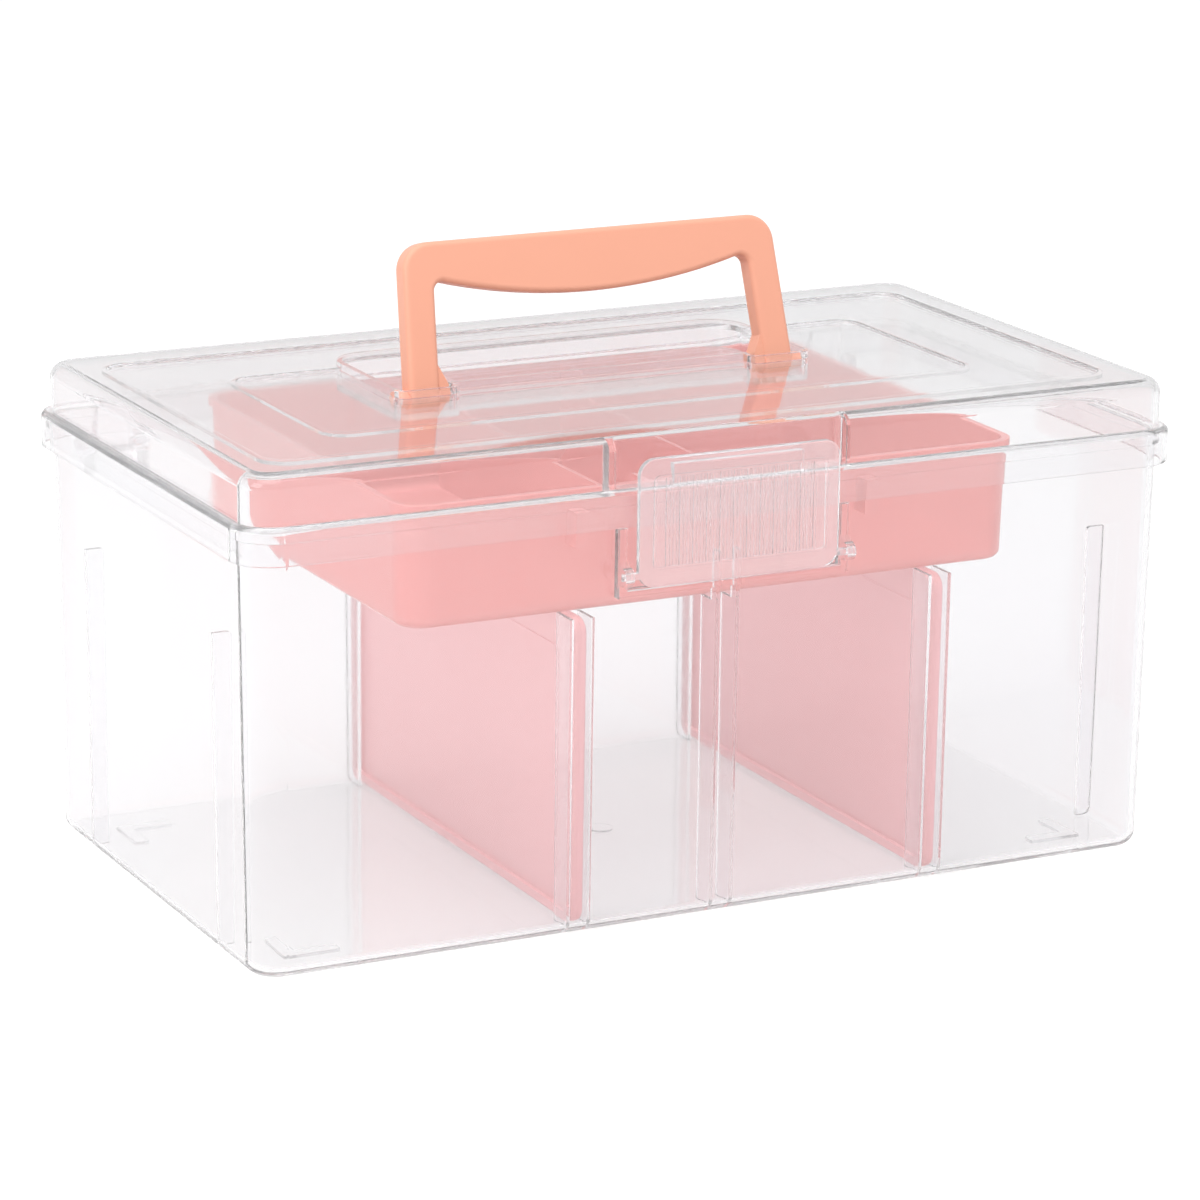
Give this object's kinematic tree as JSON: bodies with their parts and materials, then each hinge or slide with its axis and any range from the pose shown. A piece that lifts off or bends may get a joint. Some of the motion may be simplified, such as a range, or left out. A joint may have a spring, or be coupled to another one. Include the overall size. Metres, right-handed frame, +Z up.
{
  "type": "craft storage box",
  "caption": "Clear storage box with a hinged latched lid, folding carry handle, lift-out tray and loose dividers in moulded rails.",
  "frame": {"origin": "middle of the footprint of the closed box, latch frame and hinges included, on the plane it stands on", "axes": "+X along the long side, to the right of someone facing the latch; +Y towards the hinges; +Z up"},
  "size_m": [0.3252, 0.1908, 0.202],
  "materials": {
    "clear_plastic": "clear polypropylene, glossy",
    "peach_plastic": "solid satin polypropylene",
    "salmon_plastic": "translucent polypropylene",
    "pink_plastic": "translucent polypropylene"
  },
  "bodies": {
    "body": {"box_body": "clear_plastic"},
    "lid": {"lid": "clear_plastic"},
    "handle": {"carry_handle": "peach_plastic"},
    "latch": {"latch": "clear_plastic"},
    "tray": {"tray": "salmon_plastic"},
    "left_divider": {"left_divider": "pink_plastic"},
    "right_divider": {"right_divider": "pink_plastic"}
  },
  "joints": [
    {"name": "lid_hinge", "type": "hinge", "parent": "body", "child": "lid", "pos_m": [0, 0.09223, 0.127], "axis": [-1, 0, 0], "range_deg": [0, 100]},
    {"name": "handle_fold", "type": "hinge", "parent": "lid", "child": "handle", "pos_m": [0, 0.0023, 0.1537], "axis": [-1, 0, 0], "range_deg": [-15, 75]},
    {"name": "latch_swing", "type": "hinge", "parent": "body", "child": "latch", "pos_m": [0, -0.09253, 0.116], "axis": [1, 0, 0], "range_deg": [0, 160]},
    {"name": "tray_rise", "type": "slide", "parent": "body", "child": "tray", "axis": [0, 0, 1], "range_m": [0, 0.05]},
    {"name": "left_divider_rise", "type": "slide", "parent": "body", "child": "left_divider", "axis": [0, 0, 1], "range_m": [0, 0.045]},
    {"name": "right_divider_rise", "type": "slide", "parent": "body", "child": "right_divider", "axis": [0, 0, 1], "range_m": [0, 0.045]}
  ],
  "couplings": [
    {"joint": "latch_swing", "follows": "lid_hinge", "ratio": 1.6},
    {"joint": "tray_rise", "follows": "lid_hinge", "m_per_rad": 0.02864},
    {"joint": "left_divider_rise", "follows": "lid_hinge", "m_per_rad": 0.02578},
    {"joint": "right_divider_rise", "follows": "lid_hinge", "m_per_rad": 0.02578}
  ]
}
